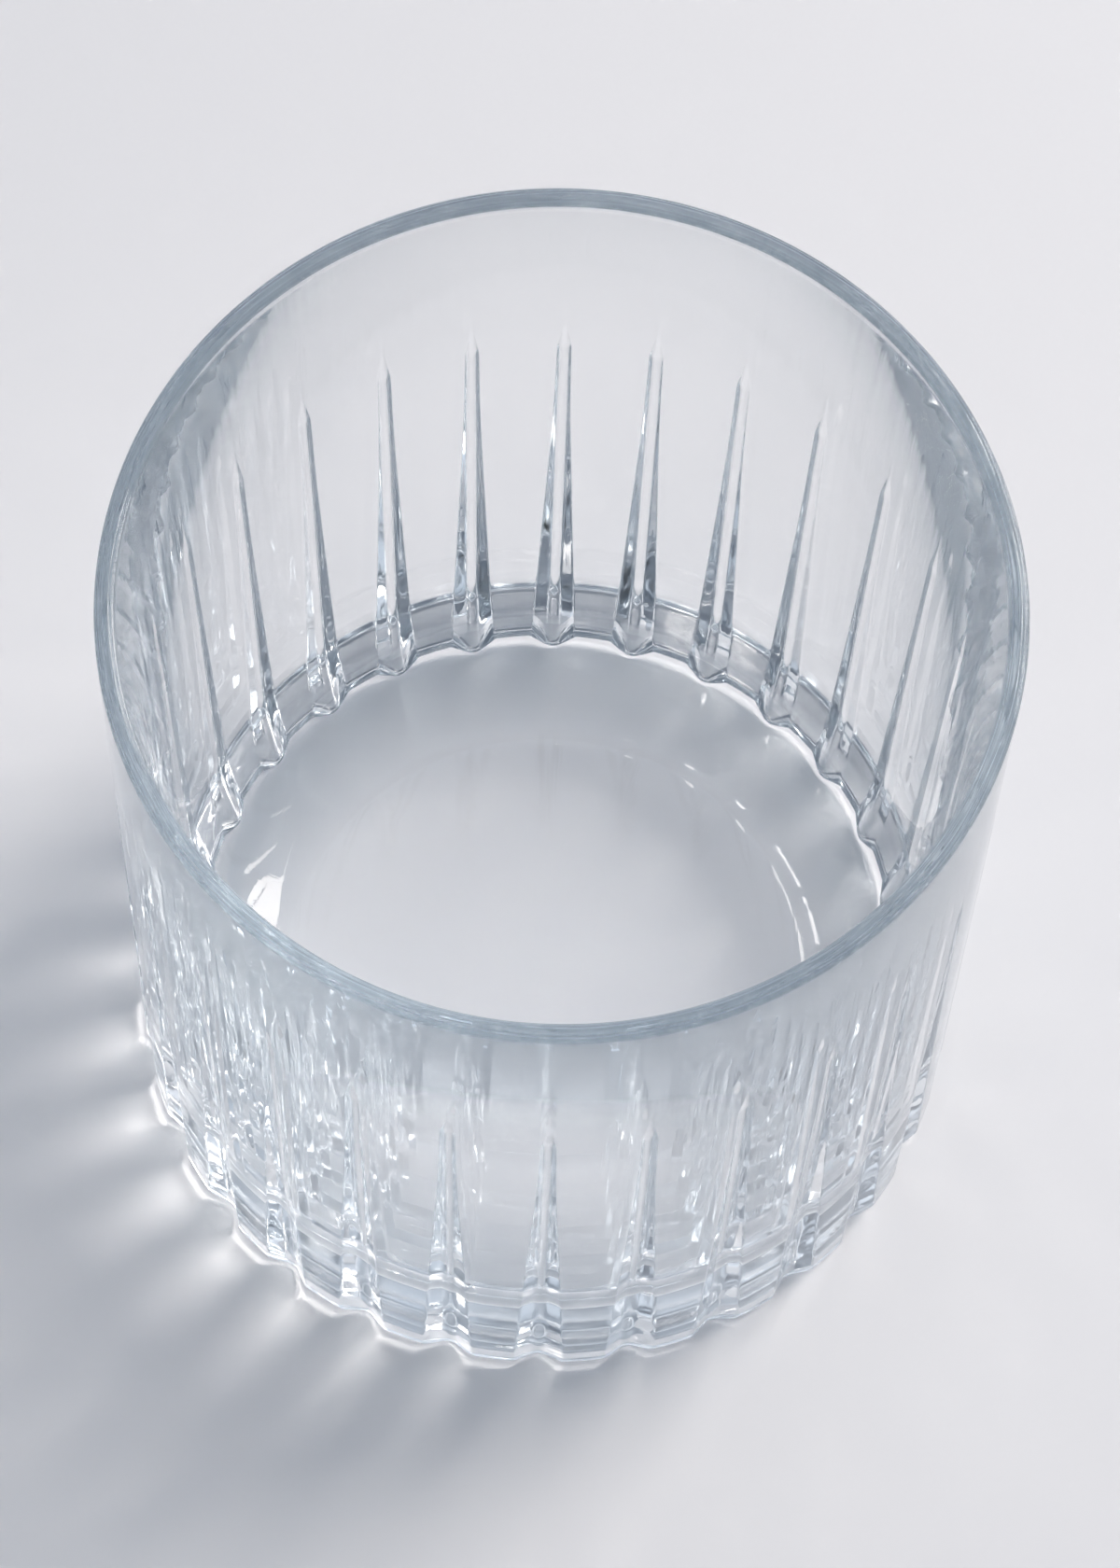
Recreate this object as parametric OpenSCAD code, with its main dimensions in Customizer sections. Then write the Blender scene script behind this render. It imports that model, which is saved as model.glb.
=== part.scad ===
// Rocks glass: a heavy-based pressed tumbler with a plain drinking band,
// slim flutes that widen and deepen towards the base, a rounded lip, a wide
// rounded corner inside and a shallow hollow under the base. One clear glass,
// described here as the zones that its wall profile is made of.
// Millimetres. Origin: centre of the foot, on the table. +Z up.

/* [Glass] */
// Overall height from the table to the top of the lip
glass_h = 93.5; // [85:0.5:105]
// Outside diameter at the lip
rim_d = 84; // [78:0.5:92]
// Outside diameter of the wall, carried down to the table
base_d = 80; // [74:0.5:84]

/* [Lip] */
// Thickness of the lip
lip_t = 1.9; // [1.6:0.1:2.6]
// Height of the lip's rounding
lip_b = 0.72; // [0.5:0.02:0.8]

/* [Wall] */
// Thickness of the wall, carried down to the inner floor
wall_t = 4.7; // [3.6:0.1:6]
// Height of the zone below the lip where the wall thins faster
flare_h = 42.5; // [20:0.5:50]
// Thickness that the wall loses in that zone
flare_t = 1.12; // [0:0.02:1.6]
// Radius of the corner between inner floor and inner wall
corner_r = 12.5; // [6:0.5:16]

/* [Base] */
// Thickness of the solid base, from the table to the inner floor
floor_h = 8; // [6:0.5:14]
// Reach of the rounded heel under the wall
heel_w = 3; // [1:0.1:4]
// Height of the rounded heel
heel_h = 1.3; // [0.6:0.1:2.5]
// Diameter of the hollow under the base, at the table
recess_d = 65.6; // [50:0.2:68]
// Width of the hollow's sloping edge
recess_run = 4.8; // [2:0.2:8]
// Depth of the hollow under the base
recess_h = 0.5; // [0.3:0.1:1]

/* [Flutes] */
// Number of flutes round the glass
flute_n = 28; // [20:1:32]
// Height of the flutes' upper tips above the table
flute_top = 71.5; // [60:0.5:76]
// Depth of a flute at the table
flute_depth = 1.4; // [0.8:0.05:1.6]
// Angle between the two faces of a flute
flute_angle = 120; // [100:1:130]
// Radius along the bottom of a flute
flute_r = 1.25; // [0.4:0.05:1.5]
// Turn of the first flute from the front centre line
flute_turn = 1.3; // [-6:0.1:6]

/* [Hidden] */
$fn = 180;
rim_r = rim_d / 2;
base_r = base_d / 2;
recess_r = recess_d / 2;
lip_z = glass_h - lip_b;            // where the lip's rounding begins

// Outer wall: straight line from (base_r, 0) to (rim_r, lip_z)
wall_slope = (rim_r - base_r) / lip_z;
function outer_r(z) = base_r + wall_slope * z;

// Heel: a flattened quarter round between the table and the outer wall
heel_c = outer_r(heel_h) - heel_w;
heel_points = [for (i = [0 : 6]) [heel_c + heel_w * sin(i * 15), heel_h * (1 - cos(i * 15))]];

// Inner wall: straight below, with a curve below the lip
flare_z = lip_z - flare_h;
function thinning(z) = pow(max(0, (z - flare_z) / flare_h), 3);
function inner_r(z) = outer_r(z) - lip_t - flare_t * (1 - thinning(z))
    - (wall_t - lip_t - flare_t) * (lip_z - z) / (lip_z - floor_h);
inner_points = [for (i = [0 : 7]) let (z = flare_z + flare_h * i / 7) [inner_r(z), z]];

// Corner circle, tangent to the inner floor and to the inner wall
bore_r = inner_r(floor_h);
bore_run = [inner_r(flare_z) - bore_r, flare_z - floor_h];
bore_dir = bore_run / norm(bore_run);
bore_in = [-bore_dir[1], bore_dir[0]];          // normal towards the axis
corner_t = corner_r * (1 - bore_in[1]) / bore_dir[1];
corner_p = [bore_r, floor_h] + corner_t * bore_dir;
corner_c = corner_p + corner_r * bore_in;

// Heights at which one zone of the wall meets the next
wall_z = floor_h + corner_r;
band_z = flute_top + 2;
rim_z = glass_h - 4;

// Section of the glass without its hollow
module outer_section() {
    polygon(concat([[0, 0]], heel_points, [[rim_r, lip_z], [0, lip_z]]));
}

// Section of the hollow
module hollow_section() {
    polygon(concat([[0, floor_h], [corner_c[0], floor_h], corner_c, corner_p], inner_points,
                   [[rim_r - lip_t, glass_h + 1], [0, glass_h + 1]]));
    translate(corner_c) circle(r = corner_r);
}

// Section of the hollow under the base, with its sloping edge
module recess_section() {
    polygon([[0, -1], [recess_r + 1, -1], [recess_r, 0],
             [recess_r - recess_run, recess_h], [0, recess_h]]);
}

// Section of the lip: flat on top, rounded at both edges
module lip_section() {
    translate([rim_r - lip_b, lip_z]) circle(r = lip_b);
    translate([rim_r - lip_t + lip_b, lip_z]) circle(r = lip_b);
    translate([rim_r - lip_t + lip_b, lip_z - lip_b]) square([lip_t - 2 * lip_b, 2 * lip_b]);
}

module glass_section() {
    difference() {
        outer_section();
        hollow_section();
        recess_section();
    }
    lip_section();
}

// The part of the glass's section between two heights, turned round the axis
module zone(z0, z1) {
    rotate_extrude()
        intersection() {
            glass_section();
            translate([0, z0]) square([rim_r + 5, z1 - z0]);
        }
}

// Section of one flute: two straight faces that run into a round bottom
module flute_section() {
    slope = 90 - flute_angle / 2;
    reach = 2.2;
    side = flute_r * sin(slope) + (reach - flute_r * (1 - cos(slope))) / tan(slope);
    bottom = [for (i = [-3 : 3]) let (a = slope * i / 3) [flute_r * (1 - cos(a)), flute_r * sin(a)]];
    polygon(concat([[reach, -side]], bottom, [[reach, side]]));
}

// All the flutes: each runs straight from its depth at the table to its tip
module flutes() {
    lean = atan(wall_slope + flute_depth / flute_top);
    for (i = [0 : flute_n - 1])
        rotate([0, 0, -90 + flute_turn + i * 360 / flute_n])
            translate([base_r - flute_depth, 0, 0])
                rotate([0, lean, 0])
                    translate([0, 0, -5])
                        linear_extrude(height = flute_top + 15)
                            flute_section();
}

// Ring that the glass stands on, round the hollow of the underside
module foot_ring() {
    color([0.86, 0.90, 0.92, 0.5])
        difference() {
            zone(0, recess_h);
            flutes();
        }
}

// Solid glass disc under the inner floor
module base() {
    color([0.88, 0.92, 0.94, 0.5])
        difference() {
            zone(recess_h, floor_h);
            flutes();
        }
}

// Thick lower wall round the rounded inner corner
module lower_wall() {
    color([0.84, 0.89, 0.92, 0.5])
        difference() {
            zone(floor_h, wall_z);
            flutes();
        }
}

// Wall with the flutes, from the top of the inner corner upwards
module fluted_wall() {
    color([0.82, 0.88, 0.91, 0.5])
        difference() {
            zone(wall_z, band_z);
            flutes();
        }
}

// Plain wall above the flutes
module plain_band() {
    color([0.90, 0.93, 0.95, 0.5])
        zone(band_z, rim_z);
}

// Rounded lip
module rim() {
    color([0.72, 0.80, 0.84, 0.5])
        zone(rim_z, glass_h + 1);
}

foot_ring();
base();
lower_wall();
fluted_wall();
plain_band();
rim();
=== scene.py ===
import math

import bpy
import numpy as np
from mathutils import Matrix, Vector


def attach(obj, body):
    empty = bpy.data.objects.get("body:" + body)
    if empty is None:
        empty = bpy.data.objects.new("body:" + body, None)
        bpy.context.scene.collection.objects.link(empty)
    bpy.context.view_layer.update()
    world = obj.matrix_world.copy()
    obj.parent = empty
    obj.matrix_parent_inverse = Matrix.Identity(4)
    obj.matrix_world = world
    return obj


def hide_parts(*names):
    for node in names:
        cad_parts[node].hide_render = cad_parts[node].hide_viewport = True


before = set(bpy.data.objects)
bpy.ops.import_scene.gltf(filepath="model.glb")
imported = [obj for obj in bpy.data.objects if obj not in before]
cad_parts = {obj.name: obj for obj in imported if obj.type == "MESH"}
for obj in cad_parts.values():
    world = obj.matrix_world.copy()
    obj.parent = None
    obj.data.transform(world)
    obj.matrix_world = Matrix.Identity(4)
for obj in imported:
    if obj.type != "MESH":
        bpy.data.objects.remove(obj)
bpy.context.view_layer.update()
scene = bpy.context.scene

# ---------------------------------------------------------------- dimensions, mm
GLASS_H = 93.5
RIM_R = 42.0
BASE_R = 40.0
LIP_W = 0.95            # half the lip's thickness
LIP_B = 0.72            # height of the lip's rounding
LIP_POWER = 2.9         # flatness of the lip: 2 is an ellipse
LIP_LINES = 9           # fine fire-polished ridges along the lip
LIP_LINE_H = 0.028
WALL_T = 4.7            # wall thickness, carried down to the inner floor
FLARE_H = 42.5          # height of the zone below the lip where the wall thins faster
FLARE_T = 1.12
CORNER_R = 12.5
FLOOR_H = 8.0
HEEL_W = 3.0            # heel: reach under the wall, and height
HEEL_H = 1.3
RECESS_R = 32.8         # hollow of the underside, to the foot's inner edge
RECESS_RUN = 8.0
RECESS_H = 0.5
FLUTE_N = 28
FLUTE_TURN = math.radians(1.3)
FLUTE_SLOPE = math.radians(30.0)    # slope of a flute's two faces
FLUTE_R = 1.45          # rounding along the bottom of a flute
FLUTE_DEPTH = 1.255     # depth of a flute's bottom at the table
FLUTE_TAPER = 0.0191    # loss of depth per mm of height
FLUTE_DEPTH_HIGH = 0.46 # the same two for the slim upper half
FLUTE_TAPER_HIGH = 0.0043
FLUTE_TOP = 70.8        # where the pointed end runs out
FLUTE_END = 0.0071      # depth in that end, per square mm of height below its tip
EDGE_SOFT = 0.05        # fire-polished rounding along a flute's edges
RIPPLE = 0.0010         # slope of the faint upright streaks of the pressed wall
LIP_Z = GLASS_H - LIP_B
MM = 0.001


def smooth(x, lo, hi):
    u = np.clip((np.asarray(x, float) - lo) / (hi - lo), 0, 1)
    return u * u * (3 - 2 * u)


def outer_r(z):
    return BASE_R + (RIM_R - BASE_R) * z / LIP_Z


def inner_r(z):
    u = np.clip((z - (LIP_Z - FLARE_H)) / FLARE_H, 0, 1)
    t = 2 * LIP_W + (WALL_T - 2 * LIP_W - FLARE_T) * (LIP_Z - z) / (LIP_Z - FLOOR_H) + FLARE_T * (1 - u ** 3)
    return outer_r(z) - t


def heel_r(z):
    """Radius of the round wall with its heel, without the flutes."""
    z = np.asarray(z, float)
    c = outer_r(HEEL_H) - HEEL_W
    return np.where(z < HEEL_H, c + HEEL_W * np.sqrt(np.clip(1 - (1 - z / HEEL_H) ** 2, 0, 1)), outer_r(z))


# ---------------------------------------------------------------- glass mesh
def flute_depth(z):
    """Depth of a flute's bottom line below the round wall; negative above the flute."""
    low = FLUTE_DEPTH - FLUTE_TAPER * np.asarray(z, float)
    high = FLUTE_DEPTH_HIGH - FLUTE_TAPER_HIGH * np.asarray(z, float)
    long = 0.5 * (low + high + np.sqrt((low - high) ** 2 + 0.10 ** 2))
    end = FLUTE_END * (FLUTE_TOP - z) * np.abs(FLUTE_TOP - z)
    return 0.5 * (long + end - np.sqrt((long - end) ** 2 + 0.03 ** 2))


def flute_half_width(z):
    d = np.maximum(flute_depth(z), 0.0)
    arc_d = FLUTE_R * (1 - math.cos(FLUTE_SLOPE))
    arc_w = FLUTE_R * math.sin(FLUTE_SLOPE)
    return np.where(d < arc_d, np.sqrt(np.maximum(2 * FLUTE_R * d - d * d, 0)), arc_w + (d - arc_d) / math.tan(FLUTE_SLOPE))


INSIDE = np.array([0, .07, .14, .21, .28, .35, .42, .50, .58, .67, .76, .85, .91, .96])
BEYOND = np.concatenate([[0, .02, .05, .09], np.linspace(.09, 1, 15)[1:]])


def flute_columns(z):
    """Angles from one flute's centre line to the next one, following the flute's edges at height z."""
    half = math.pi / FLUTE_N
    edge = max(float(flute_half_width(z)), 0.45) / float(outer_r(z))        # flute's half width, as an angle
    right = np.concatenate([INSIDE * edge, edge + BEYOND * (half - edge)])
    left = 2 * half - right[::-1]
    return np.concatenate([right, left[1:-1]])                              # one period, without its last column


def flute_cut(angle, z):
    """Depth of the flute below the round wall, at an angle from the flute's centre line."""
    period = 2 * math.pi / FLUTE_N
    a = np.abs((angle + period / 2) % period - period / 2)
    bottom = outer_r(z) - flute_depth(z)                  # radius of the flute's bottom line
    w = bottom * np.tan(a)                                # distance across the flute
    arc_w = FLUTE_R * math.sin(FLUTE_SLOPE)
    rise = np.where(w < arc_w, FLUTE_R - np.sqrt(np.maximum(FLUTE_R ** 2 - np.minimum(w, arc_w) ** 2, 0)),
                    FLUTE_R * (1 - math.cos(FLUTE_SLOPE)) + (w - arc_w) * math.tan(FLUTE_SLOPE))
    t = heel_r(z) - np.hypot(bottom + rise, w)
    soft = EDGE_SOFT * (1 - 0.7 * float(smooth(z, 20, 66)))
    return 0.5 * (t + np.sqrt(t * t + soft ** 2))


def ripple_waves(seed):
    rng = np.random.default_rng(seed)
    counts = np.array([83, 101, 127, 149, 173, 211, 239])
    return [(n, RIM_R / n, *rng.uniform(0, 2 * math.pi, 3), rng.uniform(0.03, 0.09), rng.uniform(0.5, 2.0)) for n in counts]


OUTER_WAVES, INNER_WAVES = ripple_waves(5), ripple_waves(9)


def ripple(angle, z, waves):
    """Faint upright streaks that drift a little with height."""
    return RIPPLE * sum(h * (0.6 + 0.4 * math.sin(k * z + p2)) * np.sin(n * angle + p0 + drift * math.sin(0.6 * k * z + p1))
                        for n, h, p0, p1, p2, k, drift in waves)


def outer_rows():
    low = np.concatenate([np.linspace(HEEL_H, 6, 14), np.linspace(6, 58, 53)[1:], np.linspace(58, 72, 57)[1:]])
    return np.concatenate([low, np.linspace(72, LIP_Z, 18)[1:-1]])


def build_glass():
    rows_r, rows_z, angles = [], [], []          # one entry per row: radius, height and angle of each column
    n_col = len(flute_columns(0.0)) * FLUTE_N

    def all_angles(z):
        per = flute_columns(z)
        return (per[None, :] + (np.arange(FLUTE_N) * 2 * math.pi / FLUTE_N)[:, None]).ravel()

    def add(r, z, a):
        rows_r.append(np.broadcast_to(np.asarray(r, float), (n_col,)).copy())
        rows_z.append(np.broadcast_to(np.asarray(z, float), (n_col,)).copy())
        angles.append(a)

    base_angles = all_angles(0.0)
    heel_c = float(heel_r(0.0))                  # where the flat foot ends and the heel begins
    # underside, from the centre outwards
    for r in (1.0, 3.0, 6.0, 10.0, 14.0, 18.0, 22.0):
        add(r, RECESS_H, base_angles)
    for t in np.linspace(0, 1, 13):
        add(RECESS_R - RECESS_RUN * (1 - t), RECESS_H * (1 - float(smooth(t, 0, 1))), base_angles)
    for t in np.linspace(0, 1, 7)[1:-1]:
        add(RECESS_R + t * (heel_c - RECESS_R), 0.0, base_angles)
    # heel
    for t in np.linspace(0, math.pi / 2, 16)[:-1]:
        z = HEEL_H * (1 - math.cos(t))
        a = all_angles(z)
        add(heel_r(z) - flute_cut(a, z), z, a)
    # outer wall
    for z in outer_rows():
        a = all_angles(z)
        fade = float(smooth(z, 4, 20)) * (1 - float(smooth(z, LIP_Z - 4, LIP_Z)))
        add(outer_r(z) - flute_cut(a, z) + fade * ripple(a, z, OUTER_WAVES), z, a)
    top_angles = all_angles(LIP_Z)
    # lip, with fine ridges that wander a little
    wander = 1.3 * np.sin(3 * top_angles + .4) + .9 * np.sin(8 * top_angles + 1.9) + .6 * np.sin(19 * top_angles + .7)
    for t in np.linspace(0, math.pi, 57):
        c, b = math.cos(t), math.sin(t)
        x = math.copysign(abs(c) ** (2 / LIP_POWER), c)
        y = abs(b) ** (2 / LIP_POWER)
        grow = 1 + LIP_LINE_H / LIP_W * b * np.sin(2 * math.pi * LIP_LINES * t / math.pi + wander * (1 + .6 * c))
        add(RIM_R - LIP_W + LIP_W * x * grow, LIP_Z + LIP_B * y * grow, top_angles)
    # inner wall
    d = np.array([float(inner_r(30.0) - inner_r(20.0)), 10.0])
    d /= np.linalg.norm(d)
    n = np.array([-d[1], d[0]])
    p_low = np.array([float(inner_r(FLOOR_H)), FLOOR_H]) + CORNER_R * (1 - n[1]) / d[1] * d
    c = p_low + CORNER_R * n
    for t in np.concatenate([np.linspace(0, .06, 8)[1:], np.linspace(.06, 1, 60)[1:]]):
        z = LIP_Z + (p_low[1] - LIP_Z) * t
        fade = float(smooth(z, 20, 34)) * (1 - float(smooth(z, LIP_Z - 4, LIP_Z)))
        add(inner_r(z) + fade * ripple(top_angles, z, INNER_WAVES), z, top_angles)
    # rounded inner corner
    for t in np.linspace(math.atan2(-n[1], -n[0]), -math.pi / 2, 40)[1:]:
        add(c[0] + CORNER_R * math.cos(t), c[1] + CORNER_R * math.sin(t), top_angles)
    # inner floor, to the centre
    for r in np.concatenate([np.linspace(c[0], 4, 12)[1:], [2.0, 1.0]]):
        add(r, FLOOR_H, top_angles)

    R, Z, A = np.array(rows_r), np.array(rows_z), np.array(angles) + (-math.pi / 2 + FLUTE_TURN)
    n_row = len(R)
    co = np.stack([R * np.cos(A), R * np.sin(A), Z], axis=-1).reshape(-1, 3)
    low_c = len(co)
    co = np.concatenate([co, [[0, 0, RECESS_H], [0, 0, FLOOR_H]]]) * MM
    i = np.arange(n_row - 1)[:, None] * n_col
    j = np.arange(n_col)[None, :]
    k = (j + 1) % n_col
    quads = np.stack([i + j, i + k, i + n_col + k, i + n_col + j], axis=-1).reshape(-1, 4)
    jj = np.arange(n_col)
    kk = (jj + 1) % n_col
    last = (n_row - 1) * n_col
    tris = np.concatenate([np.stack([kk, jj, np.full(n_col, low_c)], -1), np.stack([last + jj, last + kk, np.full(n_col, low_c + 1)], -1)])
    me = bpy.data.meshes.new("glass")
    me.vertices.add(len(co))
    me.vertices.foreach_set("co", co.astype(np.float32).ravel())
    loops = np.concatenate([quads.ravel(), tris.ravel()]).astype(np.int32)
    starts = np.concatenate([np.arange(len(quads)) * 4, len(quads) * 4 + np.arange(len(tris)) * 3]).astype(np.int32)
    me.loops.add(len(loops))
    me.loops.foreach_set("vertex_index", loops)
    me.polygons.add(len(starts))
    me.polygons.foreach_set("loop_start", starts)
    me.update(calc_edges=True)
    me.validate()
    me.polygons.foreach_set("use_smooth", np.ones(len(me.polygons), bool))
    me.update()
    ob = bpy.data.objects.new("rocks_glass", me)
    scene.collection.objects.link(ob)
    return ob


def glass_material():
    m = bpy.data.materials.new("clear_pressed_glass")
    m.use_nodes = True
    nt = m.node_tree
    b = nt.nodes["Principled BSDF"]
    b.inputs["Base Color"].default_value = (1, 1, 1, 1)
    b.inputs["Roughness"].default_value = 0.0
    b.inputs["IOR"].default_value = 1.51
    b.inputs["Transmission Weight"].default_value = 1.0
    # fine upright drawing lines of pressed glass: noise on the round wall, stretched along the height
    tc = nt.nodes.new("ShaderNodeTexCoord")
    flat = nt.nodes.new("ShaderNodeVectorMath")
    flat.operation = "MULTIPLY"
    flat.inputs[1].default_value = (1, 1, 0)
    nt.links.new(tc.outputs["Object"], flat.inputs[0])
    unit = nt.nodes.new("ShaderNodeVectorMath")
    unit.operation = "NORMALIZE"
    nt.links.new(flat.outputs["Vector"], unit.inputs[0])
    around = nt.nodes.new("ShaderNodeVectorMath")
    around.operation = "SCALE"
    around.inputs["Scale"].default_value = 55.0
    nt.links.new(unit.outputs["Vector"], around.inputs[0])
    height = nt.nodes.new("ShaderNodeVectorMath")
    height.operation = "MULTIPLY"
    height.inputs[1].default_value = (0, 0, 45.0)
    nt.links.new(tc.outputs["Object"], height.inputs[0])
    place = nt.nodes.new("ShaderNodeVectorMath")
    place.operation = "ADD"
    nt.links.new(around.outputs["Vector"], place.inputs[0])
    nt.links.new(height.outputs["Vector"], place.inputs[1])
    noise = nt.nodes.new("ShaderNodeTexNoise")
    noise.inputs["Scale"].default_value = 1.0
    noise.inputs["Detail"].default_value = 2.0
    noise.inputs["Roughness"].default_value = 0.55
    nt.links.new(place.outputs["Vector"], noise.inputs["Vector"])
    bump = nt.nodes.new("ShaderNodeBump")
    bump.inputs["Strength"].default_value = 1.0
    bump.inputs["Distance"].default_value = 0.000003
    nt.links.new(noise.outputs["Factor" if "Factor" in noise.outputs else "Fac"], bump.inputs["Height"])
    nt.links.new(bump.outputs["Normal"], b.inputs["Normal"])
    # painted shade: the glass colour is darkened on the fire-polished lip, standing in for the darker rim that the
    # light makes
    split = nt.nodes.new("ShaderNodeSeparateXYZ")
    nt.links.new(tc.outputs["Object"], split.inputs["Vector"])
    level = nt.nodes.new("ShaderNodeMapRange")
    level.inputs["From Min"].default_value = (LIP_Z - 0.25) * MM
    level.inputs["From Max"].default_value = (LIP_Z + 0.15) * MM
    nt.links.new(split.outputs["Z"], level.inputs["Value"])
    shade = nt.nodes.new("ShaderNodeValToRGB")
    shade.color_ramp.elements[0].color = (1, 1, 1, 1)
    # painted shade: the darker colour given to the lip's glass
    shade.color_ramp.elements[1].color = (0.65, 0.695, 0.72, 1)
    nt.links.new(level.outputs["Result"], shade.inputs["Fac"])
    nt.links.new(shade.outputs["Color"], b.inputs["Base Color"])
    out = nt.nodes["Material Output"]
    vol = nt.nodes.new("ShaderNodeVolumeAbsorption")
    vol.inputs["Color"].default_value = (0.30, 0.52, 0.66, 1)
    vol.inputs["Density"].default_value = 3.3
    nt.links.new(vol.outputs["Volume"], out.inputs["Volume"])
    return m


glass = build_glass()
glass.data.materials.append(glass_material())
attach(glass, "root")
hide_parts("foot_ring", "base", "lower_wall", "fluted_wall", "plain_band", "rim")


# ---------------------------------------------------------------- floor
def floor():
    me = bpy.data.meshes.new("floor")
    s = 1.5
    me.from_pydata([(-s, -s, -0.00004), (s, -s, -0.00004), (s, s, -0.00004), (-s, s, -0.00004)], [], [(0, 1, 2, 3)])
    ob = bpy.data.objects.new("floor", me)
    scene.collection.objects.link(ob)
    m = bpy.data.materials.new("pale_floor")
    m.use_nodes = True
    b = m.node_tree.nodes["Principled BSDF"]
    b.inputs["Base Color"].default_value = (0.80, 0.80, 0.81, 1)
    b.inputs["Roughness"].default_value = 0.85
    b.inputs["Specular IOR Level"].default_value = 0.2
    me.materials.append(m)


floor()


# ---------------------------------------------------------------- light
def lights():
    # soft room: bright walls behind and to the right, dim overhead and on the near side
    w = bpy.data.worlds.new("studio")
    scene.world = w
    w.use_nodes = True
    nt = w.node_tree
    bg = nt.nodes["Background"]
    tc = nt.nodes.new("ShaderNodeTexCoord")
    dot = nt.nodes.new("ShaderNodeVectorMath")
    dot.operation = "DOT_PRODUCT"
    dot.inputs[1].default_value = (0.40, 0.86, 0.33)
    nt.links.new(tc.outputs["Generated"], dot.inputs[0])
    ramp = nt.nodes.new("ShaderNodeValToRGB")
    ramp.color_ramp.interpolation = "EASE"
    stops = ramp.color_ramp.elements
    stops[0].position, stops[0].color = 0.50, (0.115, 0.14, 0.18, 1)
    stops[1].position, stops[1].color = 0.95, (0.90, 0.96, 1.06, 1)
    span = nt.nodes.new("ShaderNodeMapRange")
    span.inputs["From Min"].default_value = -1.0
    span.inputs["From Max"].default_value = 1.0
    nt.links.new(dot.outputs["Value"], span.inputs["Value"])
    nt.links.new(span.outputs["Result"], ramp.inputs["Fac"])
    nt.links.new(ramp.outputs["Color"], bg.inputs["Color"])
    bg.inputs["Strength"].default_value = 1.0
    key = bpy.data.lights.new("key", "AREA")
    key.shape = "DISK"
    key.size = 0.64
    key.energy = 12.7
    key.color = (1.0, 0.925, 0.865)
    ob = bpy.data.objects.new("key", key)
    ob.location = (0.80, 0.56, 0.70)
    d = Vector((0, 0, 0.03)) - ob.location
    ob.rotation_euler = d.to_track_quat("-Z", "Y").to_euler()
    scene.collection.objects.link(ob)


lights()


# ---------------------------------------------------------------- camera
def camera():
    R = RIM_R * MM
    f, y, z, yaw, pit, rol = 9000.0, 7.309 * R, 18.604 * R, math.radians(0.10), math.radians(67.17), math.radians(2.64)
    ce, se = math.cos(pit), math.sin(pit)
    fwd = Vector((math.sin(yaw) * ce, math.cos(yaw) * ce, -se))
    r0 = Vector((math.cos(yaw), -math.sin(yaw), 0))
    u0 = r0.cross(fwd)
    right = math.cos(rol) * r0 + math.sin(rol) * u0
    up = -math.sin(rol) * r0 + math.cos(rol) * u0
    cam = bpy.data.cameras.new("camera")
    cam.sensor_width = 36.0
    cam.sensor_fit = "AUTO"
    cam.lens = f * 36.0 / 1680.0
    cam.clip_start = 0.01
    ob = bpy.data.objects.new("camera", cam)
    m = Matrix((right, up, -fwd)).transposed().to_4x4()
    m.translation = Vector((0, -y, z))
    ob.matrix_world = m
    scene.collection.objects.link(ob)
    scene.camera = ob


camera()

scene.view_settings.view_transform = "Standard"
# light that the glass gathers and throws on the floor is traced in full
scene.cycles.max_bounces = 32
scene.cycles.transmission_bounces = 32
scene.cycles.glossy_bounces = 24
scene.cycles.diffuse_bounces = 4
scene.cycles.caustics_refractive = True
scene.cycles.caustics_reflective = True
scene.cycles.blur_glossy = 0.0
scene.cycles.sample_clamp_indirect = 0.0
scene.cycles.use_guiding = True
scene.cycles.use_surface_guiding = True

bpy.context.view_layer.update()
